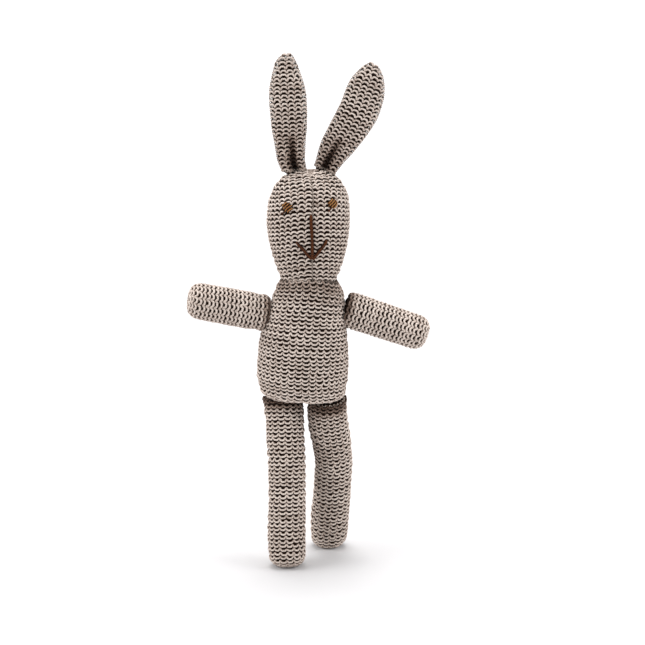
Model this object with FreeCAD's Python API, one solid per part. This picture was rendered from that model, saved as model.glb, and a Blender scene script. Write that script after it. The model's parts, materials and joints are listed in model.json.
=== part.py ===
import FreeCAD, Part
import os
from math import asin, atan2, cos, degrees, hypot, radians, sin
from FreeCAD import Matrix, Placement, Rotation, Vector

# A stuffed rabbit of knitted cotton. Every limb is a knitted cover round its own wad of
# fibre filling, sewn to the torso by a ring of thread. The rabbit faces -Y, its own left
# hand is on +X, and it stands on the flats of its two soles at Z = 0. All sizes in mm.

# Knitting, filling and thread
knit_thickness = 1.5
fill_gap = 0.2
move_gap = 0.4
skin_gap = 0.08
thread_thickness = 0.6
seam_width = 1.1
pole_radius = 0.5

# Legs
leg_radius = 10.8
leg_length = 92.0
leg_root_radius = 8.4
leg_spread = 25.6
hips_offset_x = -0.9
hip_ring_radius = 9.4
leg_swing_angle = 12.4
leg_lean_angle = 1.0
sole_cap_depth = 8.6
sole_flat_depth = 0.7

# Torso
torso_height = 69.0
torso_belly_radius = 26.7
torso_neck_radius = 18.0
torso_depth_ratio = 0.9
torso_lean_angle = 3.0
torso_offset_x = -3.8

# Arms
arm_radius = 10.6
arm_length = 40.0
arm_root_radius = 8.2
shoulder_height = 49.3
shoulder_ring_radius = 10.0
hand_cap_depth = 8.0
right_arm_lift_angle = 9.0
right_arm_forward_angle = 9.0
left_arm_drop_angle = 19.5
left_arm_back_angle = 3.0

# Head
head_height = 57.2
head_cheek_radius = 23.8
head_cheek_height = 27.5
neck_ball_radius = 18.6
neck_ball_lift = 7.3
neck_ring_angle = 70.0
head_tilt_angle = 2.0
head_turn_angle = 6.5

# Ears
ear_length = 65.0
ear_half_width = 11.3
ear_half_thickness = 5.0
ear_root_half_width = 7.0
ear_root_half_thickness = 3.4
ear_spread = 17.2
ear_offset_x = 2.0
right_ear_lean_angle = -2.9
left_ear_lean_angle = 25.3

# Face embroidery, in heights above the neck's centre
left_eye_height = 38.4
right_eye_height = 37.3
eye_spread = 25.3
eye_half_width = 2.8
eye_half_height = 3.1
nose_top_height = 33.6
nose_joint_height = 19.3
mouth_low_height = 8.6
mouth_corner_height = 18.0
mouth_half_width = 8.6
embroidery_width = 1.7
embroidery_thickness = 1.1

x_axis = Vector(1, 0, 0)
y_axis = Vector(0, 1, 0)
z_axis = Vector(0, 0, 1)
far = 400.0


def ball_points(radius, last_angle, steps):
    """Points of a ball's outline from its lower pole up to last_angle degrees."""
    angles = [last_angle * i / steps for i in range(steps + 1)]
    return [(radius * sin(radians(a)), -radius * cos(radians(a))) for a in angles]


def cap_points(radius, depth, height, steps):
    """Points of a rounded end, from the tube's edge to the pole at the given height."""
    angles = [90.0 * i / steps for i in range(steps + 1)]
    return [(radius * cos(radians(a)), height - depth + depth * sin(radians(a))) for a in angles]


def grown(points, grow):
    """The outline moved outwards by grow along its normals; poles stay on the axis."""
    curve = Part.BSplineCurve()
    curve.interpolate([Vector(r, 0, z) for r, z in points])
    first, last = curve.FirstParameter, curve.LastParameter
    count = 3 * len(points)
    moved = []
    for i in range(count + 1):
        at = first + (last - first) * i / count
        place, along = curve.value(at), curve.tangent(at)[0]
        moved.append(Vector(place.x + grow * along.z, 0, place.z - grow * along.x))
    moved[0] = Vector(pole_radius, 0, points[0][1] - grow)
    moved[-1] = Vector(pole_radius, 0, points[-1][1] + grow)
    return moved


def outline_edges(points, grow):
    """The outline from the axis, over a small flat at each pole, and back to the axis."""
    moved = grown(points, grow)
    curve = Part.BSplineCurve()
    curve.interpolate(moved)
    low, high = Vector(0, 0, moved[0].z), Vector(0, 0, moved[-1].z)
    return [Part.makeLine(low, moved[0]), curve.toShape(), Part.makeLine(moved[-1], high)]


def turned(points, grow=0.0):
    """A solid of revolution about Z from an outline that runs pole to pole."""
    edges = outline_edges(points, grow)
    axis = Part.makeLine(edges[-1].Vertexes[-1].Point, edges[0].Vertexes[0].Point)
    return Part.Face(Part.Wire(edges + [axis])).revolve(Vector(), z_axis, 360)


def turned_layer(points, low_grow, high_grow, start_angle, sweep_angle):
    """The layer between two growths, turned only part of the way round Z."""
    edges = outline_edges(points, high_grow)
    inner = outline_edges(points, low_grow)
    edges.append(Part.makeLine(edges[-1].Vertexes[-1].Point, inner[-1].Vertexes[-1].Point))
    edges.append(Part.makeLine(edges[0].Vertexes[0].Point, inner[0].Vertexes[0].Point))
    face = Part.Face(Part.Wire(Part.__sortEdges__(edges + inner)))
    layer = face.revolve(Vector(), z_axis, sweep_angle)
    layer.rotate(Vector(), z_axis, start_angle)
    return layer


def box_between(low, high):
    size = high - low
    return Part.makeBox(size.x, size.y, size.z, low)


def strip(solid_at, low, high, window):
    """A flat thread on the skin: the layer between two growths, inside a window."""
    return solid_at(high).cut(solid_at(low)).common(window)


def placed(shape, place):
    copy = shape.copy()
    copy.Placement = place.multiply(copy.Placement)
    return copy


def ring(radius, place):
    """A ring of seam thread about the local Z axis."""
    return placed(Part.makeTorus(radius, thread_thickness), place)


def towards(direction, at):
    """A frame at a point, with its Z axis along the direction."""
    return Placement(at, Rotation(z_axis, direction))


# The soles are pressed flat where the rabbit stands
below_floor = box_between(Vector(-far, -far, -far), Vector(far, far, 0))


# Limbs: a ball at the pivot, opening into a tube with a rounded end
def limb_outline(radius, root_radius, length, cap_depth):
    swell = 1.25 * radius
    points = ball_points(root_radius, 75, 4)
    points.append((0.5 * (root_radius + radius), 0.42 * swell))
    points.append((radius, swell))
    points.append((radius, 0.5 * (swell + length - cap_depth)))
    return points + cap_points(radius, cap_depth, length, 4)


def limb_nodes(name, radius, root_radius, length, cap_depth, place):
    outline = limb_outline(radius, root_radius, length, cap_depth)

    def solid_at(grow):
        return turned(outline, grow)

    half = seam_width / 2
    seam_end = length - 1.6 * cap_depth
    window = box_between(Vector(0, -half, radius), Vector(2 * radius, half, seam_end))
    seam = strip(solid_at, skin_gap, skin_gap + thread_thickness, window)
    behind = place.Rotation.inverted().multVec(y_axis)
    seam.rotate(Vector(), z_axis, degrees(atan2(behind.y, behind.x)))
    outside = placed(solid_at(0), place).cut(below_floor)
    return {
        f"{name}_cover": outside.cut(placed(solid_at(-knit_thickness), place)),
        f"{name}_filling": placed(solid_at(-knit_thickness - fill_gap), place),
        f"{name}_seam": placed(seam, place),
    }


# Heights: the soles set the hips, the hips set the torso, the torso sets the rest
swing = radians(leg_swing_angle)
sole_reach = hypot(sole_cap_depth * cos(swing), leg_radius * sin(swing))
hip_height = (leg_length - sole_cap_depth) * cos(swing) + sole_reach - sole_flat_depth
lean_drop = 0.75 * leg_spread * sin(radians(torso_lean_angle))
torso_base = hip_height + leg_root_radius + move_gap + lean_drop
torso_place = Placement(Vector(torso_offset_x, 0, torso_base), Rotation(y_axis, torso_lean_angle))
torso_axis = torso_place.Rotation.multVec(z_axis)
neck_pivot = torso_place.multVec(Vector(0, 0, torso_height + neck_ball_lift))
head_rotation = Rotation(y_axis, -head_tilt_angle).multiply(Rotation(z_axis, head_turn_angle))
head_place = Placement(neck_pivot, head_rotation)


# Torso: pear-shaped bag, flat below, with a round hollow above where the head sits
def torso_outline():
    base_flat = 0.62 * torso_belly_radius
    belly = torso_belly_radius
    slope = belly - torso_neck_radius
    return [
        (base_flat, 0.0),
        (belly - 4.2, 2.4),
        (belly - 1.0, 8.0),
        (belly, 0.22 * torso_height),
        (belly - 0.08 * slope, 0.40 * torso_height),
        (belly - 0.30 * slope, 0.62 * torso_height),
        (belly - 0.52 * slope, 0.79 * torso_height),
        (torso_neck_radius, torso_height),
    ]


def torso_solid(grow=0.0):
    curve = Part.BSplineCurve()
    curve.interpolate([Vector(r, 0, z) for r, z in torso_outline()])
    first, last = curve.FirstParameter, curve.LastParameter
    side = []
    count = 16
    for i in range(count + 1):
        at = first + (last - first) * i / count
        place, along = curve.value(at), curve.tangent(at)[0]
        side.append(Vector(place.x + grow * along.z, 0, place.z - grow * along.x))
    side[0] = Vector(side[0].x, 0, -grow)
    outline = Part.BSplineCurve()
    outline.interpolate(side)
    low, high = Vector(0, 0, -grow), Vector(0, 0, side[-1].z)
    edges = [
        Part.makeLine(low, side[0]),
        outline.toShape(),
        Part.makeLine(side[-1], high),
        Part.makeLine(high, low),
    ]
    solid = Part.Face(Part.Wire(edges)).revolve(Vector(), z_axis, 360)
    flatten = Matrix()
    flatten.scale(1, torso_depth_ratio, 1)
    solid = solid.transformGeometry(flatten)
    hollow = neck_ball_radius + move_gap - grow
    return solid.cut(Part.makeSphere(hollow, Vector(0, 0, torso_height + neck_ball_lift)))


def torso_side_point(height, side):
    """The skin's point and outward normal at a height, on side +1 (left) or -1 (right)."""
    curve = Part.BSplineCurve()
    curve.interpolate([Vector(r, 0, z) for r, z in torso_outline()])
    level = Part.Plane(Vector(0, 0, height), z_axis)
    place = curve.intersect(level)[0][0]
    point = Vector(place.X, 0, place.Z)
    along = curve.tangent(curve.parameter(point))[0]
    return Vector(side * point.x, 0, point.z), Vector(side * along.z, 0, -along.x)


shoulder_reach = arm_root_radius + move_gap
pivots = {"neck": neck_pivot}
arm_axes = {}
shoulder_axes = {}
for side_name, side in (("left", 1), ("right", -1)):
    point, normal = torso_side_point(shoulder_height, side)
    pivots[f"{side_name}_shoulder"] = torso_place.multVec(point + normal * shoulder_reach)
    shoulder_axes[side_name] = torso_place.Rotation.multVec(normal)
    pivots[f"{side_name}_hip"] = Vector(hips_offset_x + side * leg_spread / 2, 0, hip_height)

arm_axes["left"] = Rotation(z_axis, left_arm_back_angle).multVec(
    Rotation(y_axis, left_arm_drop_angle).multVec(x_axis))
arm_axes["right"] = Rotation(z_axis, right_arm_forward_angle).multVec(
    Rotation(y_axis, right_arm_lift_angle).multVec(-x_axis))
leg_axes = {
    "left": Rotation(x_axis, leg_swing_angle).multVec(-z_axis),
    "right": Rotation(x_axis, -leg_swing_angle).multVec(-z_axis),
}
leg_axes = {
    name: Rotation(y_axis, -leg_lean_angle).multVec(axis) for name, axis in leg_axes.items()
}


def torso_nodes():
    cover = torso_solid().cut(torso_solid(-knit_thickness))
    front = box_between(Vector(-far, -far, -far), Vector(far, 0, far))
    back = box_between(Vector(-far, 0, -far), Vector(far, far, far))
    half = seam_width / 2
    layer = torso_solid(skin_gap + thread_thickness).cut(torso_solid(skin_gap))
    base_length = 0.4 * leg_spread - leg_root_radius * 0.5
    base_window = box_between(Vector(-base_length, -half, -far), Vector(base_length, half, 0))
    nodes = {
        "torso_front": cover.common(front),
        "torso_back": cover.common(back),
        "torso_filling": torso_solid(-knit_thickness - fill_gap),
        "torso_base_seam": layer.common(base_window),
    }
    ring_reach = shoulder_reach + 2.2 * thread_thickness
    neck_room = Part.makeSphere(
        neck_ball_radius + move_gap, Vector(0, 0, torso_height + neck_ball_lift))
    for side_name, side in (("left", 1), ("right", -1)):
        low = Vector(min(0, side * far), -half, 0.1 * torso_height)
        high = Vector(max(0, side * far), half, 0.9 * torso_height)
        seam = layer.common(box_between(low, high))
        point, normal = torso_side_point(shoulder_height, side)
        clear = Part.makeSphere(ring_reach + 0.5 * arm_root_radius, point + normal * shoulder_reach)
        nodes[f"torso_{side_name}_seam"] = seam.cut([clear, neck_room])
    return {name: placed(shape, torso_place) for name, shape in nodes.items()}


# Head: a ball at the neck that opens into cheeks and a broad, low crown
def head_outline():
    cheek, top = head_cheek_radius, head_height
    rise = top - head_cheek_height
    points = ball_points(neck_ball_radius, 84, 5)
    points.append((0.5 * neck_ball_radius + 0.5 * cheek, 0.30 * head_cheek_height))
    points.append((0.12 * neck_ball_radius + 0.88 * cheek, 0.62 * head_cheek_height))
    points.append((cheek, head_cheek_height))
    points.append((0.965 * cheek, head_cheek_height + 0.38 * rise))
    points.append((0.86 * cheek, head_cheek_height + 0.67 * rise))
    points.append((0.64 * cheek, head_cheek_height + 0.88 * rise))
    points.append((0.33 * cheek, head_cheek_height + 0.98 * rise))
    points.append((0.0, top))
    return points


def head_solid(grow=0.0):
    return turned(head_outline(), grow)


def head_skin_point(x, height):
    """A point of the face's skin at a sideways place and a height, with its outward normal."""
    ray = Part.makeLine(Vector(x, 0, height), Vector(x, -far, height))
    skin = head_solid().Shells[0]
    hit = ray.common(head_solid()).Vertexes
    point = min((v.Point for v in hit), key=lambda p: p.y)
    for face in skin.Faces:
        if face.isInside(point, 0.01, True):
            u, v = face.Surface.parameter(point)
            normal = face.normalAt(u, v)
            return point, normal if normal.y < 0 else -normal


def stitch_window(low, high, width):
    """A slab in front of the face round the line between two (x, height) places."""
    across, up = high[0] - low[0], high[1] - low[1]
    length = hypot(across, up)
    slab = box_between(Vector(0, -far, -width / 2), Vector(length, 0, width / 2))
    turn = Rotation(x_axis, Vector(across, 0, up))
    return placed(slab, Placement(Vector(low[0], 0, low[1]), turn))


def eye(x, height):
    point, normal = head_skin_point(x, height)
    thick = 0.6 * embroidery_thickness
    patch = Part.makeSphere(1.0)
    stretch = Matrix()
    stretch.scale(eye_half_width, eye_half_height, thick)
    patch = patch.transformGeometry(stretch)
    side = z_axis.cross(normal).normalize()
    up = normal.cross(side)
    turn = Rotation(side, up, normal, "ZXY")
    return placed(patch, Placement(point + normal * (thick + skin_gap), turn))


def head_nodes():
    outline = head_outline()
    seam_top = skin_gap + thread_thickness
    seam_angle = 2 * degrees(asin(seam_width / 2 / head_cheek_radius))
    above_neck = box_between(Vector(-far, -far, 2.0), Vector(far, far, far))
    seam_halves = [
        turned_layer(outline, skin_gap, seam_top, start - seam_angle / 2, seam_angle)
        for start in (-90, 90)
    ]
    over_seam = seam_top + skin_gap
    sewn_top = over_seam + embroidery_thickness
    mouth_gap = embroidery_width / 2 + skin_gap
    joint_gap = skin_gap + 0.1
    mouth_low = mouth_low_height
    nose_lower_low = mouth_low + embroidery_width
    stitches = {
        "nose_stitch_upper": ((0, nose_joint_height + joint_gap), (0, nose_top_height)),
        "nose_stitch_lower": ((0, nose_lower_low), (0, nose_joint_height - joint_gap)),
        "mouth_stitch_left": ((mouth_gap, mouth_low), (mouth_half_width, mouth_corner_height)),
        "mouth_stitch_right": ((-mouth_gap, mouth_low), (-mouth_half_width, mouth_corner_height)),
    }
    nodes = {
        "head_left_panel": turned_layer(outline, -knit_thickness, 0, -90, 180),
        "head_right_panel": turned_layer(outline, -knit_thickness, 0, 90, 180),
        "head_filling": head_solid(-knit_thickness - fill_gap),
        "head_centre_seam": Part.makeCompound([half.common(above_neck) for half in seam_halves]),
        "left_eye": eye(eye_spread / 2, left_eye_height),
        "right_eye": eye(-eye_spread / 2, right_eye_height),
    }
    for name, (low, high) in stitches.items():
        window = stitch_window(low, high, embroidery_width)
        nodes[name] = strip(head_solid, over_seam, sewn_top, window)
    return {name: placed(shape, head_place) for name, shape in nodes.items()}


# Ears: flat leaves of two panels, narrow where they are sewn to the crown
def ear_sections():
    """Half width, half thickness and height of each section, root to tip."""
    wide, thick = ear_half_width, ear_half_thickness
    root_wide, root_thick = ear_root_half_width, ear_root_half_thickness
    long = ear_length
    return [
        (0.62 * root_wide, 0.50 * root_thick, -0.80 * root_thick),
        (root_wide, root_thick, 0.0),
        (0.5 * (root_wide + wide) - 0.6, 0.5 * (root_thick + thick), 0.16 * long),
        (0.93 * wide, 0.94 * thick, 0.34 * long),
        (wide, thick, 0.52 * long),
        (0.93 * wide, 0.94 * thick, 0.70 * long),
        (0.72 * wide, 0.78 * thick, 0.85 * long),
        (0.46 * wide, 0.55 * thick, 0.95 * long),
        (0.16 * wide, 0.22 * thick, 0.995 * long),
    ]


def ear_solid(grow=0.0):
    rings = []
    sections = ear_sections()
    for number, (wide, thick, height) in enumerate(sections):
        if number == 0:
            height -= grow
        if number == len(sections) - 1:
            height += grow
        half_width = max(wide + grow, 0.4)
        half_thickness = min(max(thick + grow, 0.3), 0.9 * half_width)
        ellipse = Part.Ellipse(Vector(0, 0, height), half_width, half_thickness)
        rings.append(Part.Wire(ellipse.toShape()))
    return Part.makeLoft(rings, True)


def ear_root(side):
    """The ear's pivot above the crown, in the head's frame."""
    height = head_height + ear_root_half_thickness + move_gap
    return Vector(ear_offset_x + side * ear_spread / 2, 0, height)


def ear_nodes(name, place):
    inset = min(knit_thickness, 0.45 * ear_root_half_thickness)
    cover = ear_solid().cut(ear_solid(-inset))
    front = box_between(Vector(-far, -far, -far), Vector(far, 0, far))
    back = box_between(Vector(-far, 0, -far), Vector(far, far, far))
    half = seam_width / 2
    window = box_between(Vector(-far, -half, 0.12 * ear_length), Vector(far, half, far))
    parts = {
        "front_panel": cover.common(front),
        "back_panel": cover.common(back),
        "filling": ear_solid(-inset - fill_gap),
        "edge_seam": strip(ear_solid, skin_gap, skin_gap + thread_thickness, window),
    }
    return {f"{name}_{part}": placed(shape, place) for part, shape in parts.items()}


def ear_base_stitches(side):
    """Short threads on the crown round the ear's root, three in front and three behind."""
    root = ear_root(side)
    stitch_length = 2.2
    windows = []
    for facing in (-1, 1):
        for step in (-1, 0, 1):
            x = root.x + 0.55 * step * ear_root_half_width
            y = facing * (ear_root_half_thickness + 1.2)
            low = Vector(x - 0.45, min(y, y + facing * stitch_length), 0.5 * head_height)
            high = Vector(x + 0.45, max(y, y + facing * stitch_length), far)
            windows.append(box_between(low, high))
    window = Part.makeCompound(windows)
    return strip(head_solid, skin_gap, skin_gap + thread_thickness, window)


ear_axes = {}
ear_places = {}
for side_name, side, lean in (("left", 1, left_ear_lean_angle), ("right", -1, right_ear_lean_angle)):
    pivots[f"{side_name}_ear"] = head_place.multVec(ear_root(side))
    ear_turn = Rotation(y_axis, lean)
    ear_axes[side_name] = ear_turn.multVec(x_axis)
    ear_places[side_name] = Placement(pivots[f"{side_name}_ear"], ear_turn)


nodes = {}
nodes.update(torso_nodes())
nodes.update(head_nodes())
neck_ring_reach = neck_ball_radius + 2 * move_gap + thread_thickness
neck_ring_turn = radians(neck_ring_angle)
neck_ring_drop = torso_axis * neck_ring_reach * cos(neck_ring_turn)
nodes["neck_seam"] = ring(
    neck_ring_reach * sin(neck_ring_turn),
    Placement(neck_pivot - neck_ring_drop, torso_place.Rotation))
for side_name, side in (("left", 1), ("right", -1)):
    shoulder, hip = pivots[f"{side_name}_shoulder"], pivots[f"{side_name}_hip"]
    nodes.update(limb_nodes(
        f"{side_name}_arm", arm_radius, arm_root_radius, arm_length, hand_cap_depth,
        towards(arm_axes[side_name], shoulder)))
    nodes.update(limb_nodes(
        f"{side_name}_leg", leg_radius, leg_root_radius, leg_length, sole_cap_depth,
        towards(leg_axes[side_name], hip)))
    outwards = shoulder_axes[side_name]
    ring_drop = shoulder_reach - move_gap - thread_thickness
    nodes[f"{side_name}_shoulder_seam"] = ring(
        shoulder_ring_radius, towards(outwards, shoulder - outwards * ring_drop))
    nodes[f"{side_name}_hip_seam"] = ring(
        hip_ring_radius, towards(z_axis, hip + z_axis * (leg_root_radius - move_gap)))
    nodes.update(ear_nodes(f"{side_name}_ear", ear_places[side_name]))
    nodes[f"{side_name}_ear_base_stitches"] = placed(ear_base_stitches(side), head_place)

# The origin is on the floor, under the middle of the rabbit's outline
whole = Part.makeCompound(list(nodes.values())).optimalBoundingBox(False)
shift = Vector(-whole.Center.x, -whole.Center.y, 0)
pivots = {name: point + shift for name, point in pivots.items()}

os.makedirs("parts", exist_ok=True)
for name, shape in nodes.items():
    shape.translate(shift)
    shape.exportStep(f"parts/{name}.step")
    print(f"{name}: {len(shape.Solids)} solid(s), {shape.Volume:.1f} mm3, valid {shape.isValid()}")
for name, point in pivots.items():
    print(f"pivot {name}: {point.x:.2f} {point.y:.2f} {point.z:.2f}")
print(f"size {whole.XLength:.1f} x {whole.YLength:.1f} x {whole.ZLength:.1f}, base {whole.ZMin:.2f}")
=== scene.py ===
import json
import math
import bpy
import numpy as np
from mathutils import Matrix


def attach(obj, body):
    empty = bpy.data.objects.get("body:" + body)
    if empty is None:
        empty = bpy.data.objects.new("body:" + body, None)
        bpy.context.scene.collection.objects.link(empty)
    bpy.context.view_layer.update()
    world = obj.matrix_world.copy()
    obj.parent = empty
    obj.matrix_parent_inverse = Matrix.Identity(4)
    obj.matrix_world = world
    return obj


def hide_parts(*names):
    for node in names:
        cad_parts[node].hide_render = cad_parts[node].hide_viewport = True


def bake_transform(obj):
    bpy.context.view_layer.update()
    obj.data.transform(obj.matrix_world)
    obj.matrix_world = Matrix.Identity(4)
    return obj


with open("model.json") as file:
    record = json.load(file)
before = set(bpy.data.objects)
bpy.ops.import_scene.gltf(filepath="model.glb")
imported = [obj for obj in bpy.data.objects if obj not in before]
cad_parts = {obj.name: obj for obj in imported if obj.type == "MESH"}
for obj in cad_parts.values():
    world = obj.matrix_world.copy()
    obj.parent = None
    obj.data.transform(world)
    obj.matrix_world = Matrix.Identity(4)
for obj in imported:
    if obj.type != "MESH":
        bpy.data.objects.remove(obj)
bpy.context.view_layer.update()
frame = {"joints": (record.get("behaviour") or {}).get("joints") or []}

joints = {joint["name"]: joint for joint in frame["joints"]}
rng = np.random.default_rng(11)
bpy.ops.object.select_all(action="DESELECT")

# all sizes here are millimetres; buildMesh turns them to metres
knit = {
    "courseHeight": 2.36,  # from one ridge to the next
    "waleWidth": 4.2,  # one stitch along a ridge
    "narrowWale": 4.1,  # on the limbs and ears
    "yarnRadius": 0.58,
    "wave": 0.68,  # how far a course waves up and down
    "cuspSharpness": 0.30,  # narrow peaks between broad arcs
    "broadening": 0.20,
    "cuspDepth": 0.10,  # the peaks dive behind the course above
    "undersideShade": 0.35,  # painted shade: the yarn's tone darkens on its underside, where it rolls into the hollows
    "pointsPerStitch": 12,
    "sides": 8,
    "shadeSheetInset": 1.3,
    "shadeSheetThickness": 0.5,
    "fillingInset": 2.1,
    "gridRows": 44,
    "gridColumns": 56,
    "wander": (0.10, 0.07),  # slow and quick waver of a course
    "stitchSpread": 0.18,  # how unevenly the stitches reach
    "courseDrift": 0.3,  # radians, between one course and the next
    "stitchDrift": 0.35,
    "endLength": 1.1,  # the yarn tucks in over this length at a seam
    "endTuck": 0.8,
    "tone": 0.98,
    # painted shade: the tone drops where a peak dives behind the course above
    "cuspShade": 0.10,
    "toneSpread": 0.02,
    "shortestCourse": 3.0,
}
# radii of the sewing threads
thread = {"seam": 0.32, "ring": 0.34, "earEdge": 0.26, "earBase": 0.3}
# how a thread's round end is closed with quads, by the number of its sides
capQuads = {
    6: ([0, 1, 2, 3], [0, 3, 4, 5]),
    8: ([0, 1, 2, 3], [0, 3, 4, 7], [4, 5, 6, 7]),
}


def unit(vector):
    vector = np.asarray(vector, float)
    return vector / np.maximum(np.linalg.norm(vector, axis=-1, keepdims=True), 1e-12)


def splineWeights(f):
    return (
        -0.5 * f + f ** 2 - 0.5 * f ** 3,
        1 - 2.5 * f ** 2 + 1.5 * f ** 3,
        0.5 * f + 2 * f ** 2 - 1.5 * f ** 3,
        -0.5 * f ** 2 + 0.5 * f ** 3,
    )


def smoothLine(points, count):
    # a smooth line through the points, with its new points evenly spaced
    points = np.array(points, float)
    last = len(points) - 1
    at = np.linspace(0, last, 40 * last + 1)
    base = np.minimum(np.floor(at).astype(int), last - 1)
    weights = splineWeights(at - base)
    dense = sum(
        weights[k][:, None] * points[np.clip(base + k - 1, 0, last)] for k in range(4)
    )
    along = np.concatenate([[0], np.cumsum(np.linalg.norm(np.diff(dense, axis=0), axis=1))])
    even = np.linspace(0, along[-1], count)
    return np.stack([np.interp(even, along, dense[:, k]) for k in range(dense.shape[1])], 1)


def roundedGrid(origin, axis, back, profile, depth=None, bend=None, lift=None):
    # rings of points round an axis, from a profile of (radius, height); u runs from the back
    line = smoothLine(profile, knit["gridRows"])
    axis = unit(axis)
    back = unit(back - axis * np.dot(back, axis))
    across = np.cross(back, axis)
    theta = 2 * math.pi * np.arange(knit["gridColumns"]) / knit["gridColumns"]
    radius, height = line[:, 0], line[:, 1]
    ratio = np.ones_like(height) if depth is None else depth(height)
    centre = np.asarray(origin) + height[:, None] * axis
    if bend is not None:
        centre = centre + bend(height)
    grid = (
        centre[:, None, :]
        - (radius[:, None] * np.sin(theta))[..., None] * across
        + ((radius * ratio)[:, None] * np.cos(theta))[..., None] * back
    )
    if lift is not None:
        grid = grid + (lift(height)[:, None] * np.cos(theta) ** 2)[..., None] * axis
    return grid


def onSurface(grid, u, v):
    rows, columns = grid.shape[:2]
    placeU = (u % 1.0) * columns
    baseU = np.floor(placeU).astype(int)
    placeV = np.clip(v, 0, 1) * (rows - 1)
    baseV = np.minimum(np.floor(placeV).astype(int), rows - 2)
    weightU = splineWeights(placeU - baseU)
    weightV = splineWeights(placeV - baseV)
    out = 0
    for a in range(4):
        row = np.clip(baseV + a - 1, 0, rows - 1)
        for b in range(4):
            out = out + (weightV[a] * weightU[b])[..., None] * grid[row, (baseU + b - 1) % columns]
    return out


def skinFrame(grid, u, v):
    # the place on the surface, its outward normal, and the directions along and across a course
    step = 0.006
    inner = np.clip(v, 0.012, 0.988)
    place = onSurface(grid, u, v)
    along = unit(onSurface(grid, u + step, inner) - onSurface(grid, u - step, inner))
    rise = onSurface(grid, u, inner + step) - onSurface(grid, u, inner - step)
    normal = unit(np.cross(along, rise))
    return place, normal, along, np.cross(normal, along)


def bowed(line, direction):
    # a sideways bow of the centre line, from (height, offset) pairs
    at, by = zip(*line)
    return lambda height: np.interp(height, at, by)[:, None] * direction


def lengthAlong(points):
    return np.concatenate([[0], np.cumsum(np.linalg.norm(np.diff(points, axis=0), axis=1))])


# meshes from arrays of quads

def tubes(paths, radius, sides, material=0, strip=(0.0, 0.84), underside=1.0):
    # closed round threads along paths of (points, normals, lift); every thread gets its own UV strip
    blocks = []
    angle = 2 * math.pi * np.arange(sides) / sides
    for number, (points, normals, lift) in enumerate(paths):
        count = len(points)
        tangent = unit(np.gradient(points, axis=0))
        side = unit(normals - tangent * np.sum(normals * tangent, 1, keepdims=True))
        other = np.cross(tangent, side)
        size = np.full(count, radius)
        size[0] = size[-1] = 0.55 * radius  # the ends round off
        ringsOut = (
            np.cos(angle)[None, :, None] * side[:, None, :]
            + np.sin(angle)[None, :, None] * other[:, None, :]
        )
        verts = (points[:, None, :] + size[:, None, None] * ringsOut).reshape(-1, 3)
        p, j = np.meshgrid(np.arange(count - 1), np.arange(sides), indexing="ij")
        p, j = p.ravel(), j.ravel()
        k = (j + 1) % sides
        quads = np.stack([p * sides + j, p * sides + k, (p + 1) * sides + k, (p + 1) * sides + j], 1)
        caps = []
        for start, flip in ((0, True), ((count - 1) * sides, False)):
            for cap in capQuads[sides]:
                ids = [start + c for c in cap]
                caps.append(ids[::-1] if flip else ids)
        along = lengthAlong(points)
        low = strip[0] + (strip[1] - strip[0]) * number / len(paths)
        tall = 0.94 * (strip[1] - strip[0]) / len(paths)
        share = along / along[-1]
        turn = np.stack([j, j + 1, j + 1, j], 1) / sides
        where = np.stack([p, p, p + 1, p + 1], 1)
        bake = np.stack([0.01 + 0.98 * share[where], low + tall * turn], 2)
        own = np.stack([along[where], turn], 2)
        capBake = np.stack([np.full((len(caps), 4), 0.005), np.full((len(caps), 4), low)], 2)
        blocks.append({
            "verts": verts,
            "quads": np.concatenate([quads, np.array(caps)]),
            "bake": np.concatenate([bake, capBake]),
            "own": np.concatenate([own, 0 * capBake]),
            # painted shade: each thread's tone falls towards its underside, by the underside share
            "lift": (lift[:, None] * (underside + (1 - underside) * (0.5 + 0.5 * np.cos(angle)))).ravel(),
            "material": material,
        })
    return blocks


def shell(grid, uRange, vRange, inset, thickness, material=1, columns=40, rows=34, strip=(0.86, 1.0)):
    # a closed thin skin below the yarn; on the covers it carries the painted shade between the stitches
    u, v = np.meshgrid(np.linspace(*uRange, columns), np.linspace(*vRange, rows))
    place, normal, along, across = skinFrame(grid, u, v)
    outer = place - inset * normal
    inner = place - (inset + thickness) * normal
    verts = np.concatenate([outer.reshape(-1, 3), inner.reshape(-1, 3)])
    index = np.arange(rows * columns).reshape(rows, columns)
    quad = np.stack([index[:-1, :-1], index[:-1, 1:], index[1:, 1:], index[1:, :-1]], -1).reshape(-1, 4)
    total = rows * columns
    around = np.concatenate([index[0], index[1:, -1], index[-1, -2::-1], index[-2:0:-1, 0]])
    onward = np.roll(around, -1)
    rim = np.stack([onward, around, around + total, onward + total], 1)
    quads = np.concatenate([quad, quad[:, ::-1] + total, rim])
    flat = np.stack([
        (u - uRange[0]) / (uRange[1] - uRange[0]),
        strip[0] + (strip[1] - strip[0]) * (0.02 + 0.46 * (v - vRange[0]) / (vRange[1] - vRange[0])),
    ], -1).reshape(-1, 2)
    low = flat + [0, 0.5 * (strip[1] - strip[0])]
    bake = np.concatenate([flat, low])[quads]
    return [{
        "verts": verts, "quads": quads, "bake": bake, "own": 0 * bake,
        "lift": np.zeros(len(verts)), "material": material,
    }]


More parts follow.
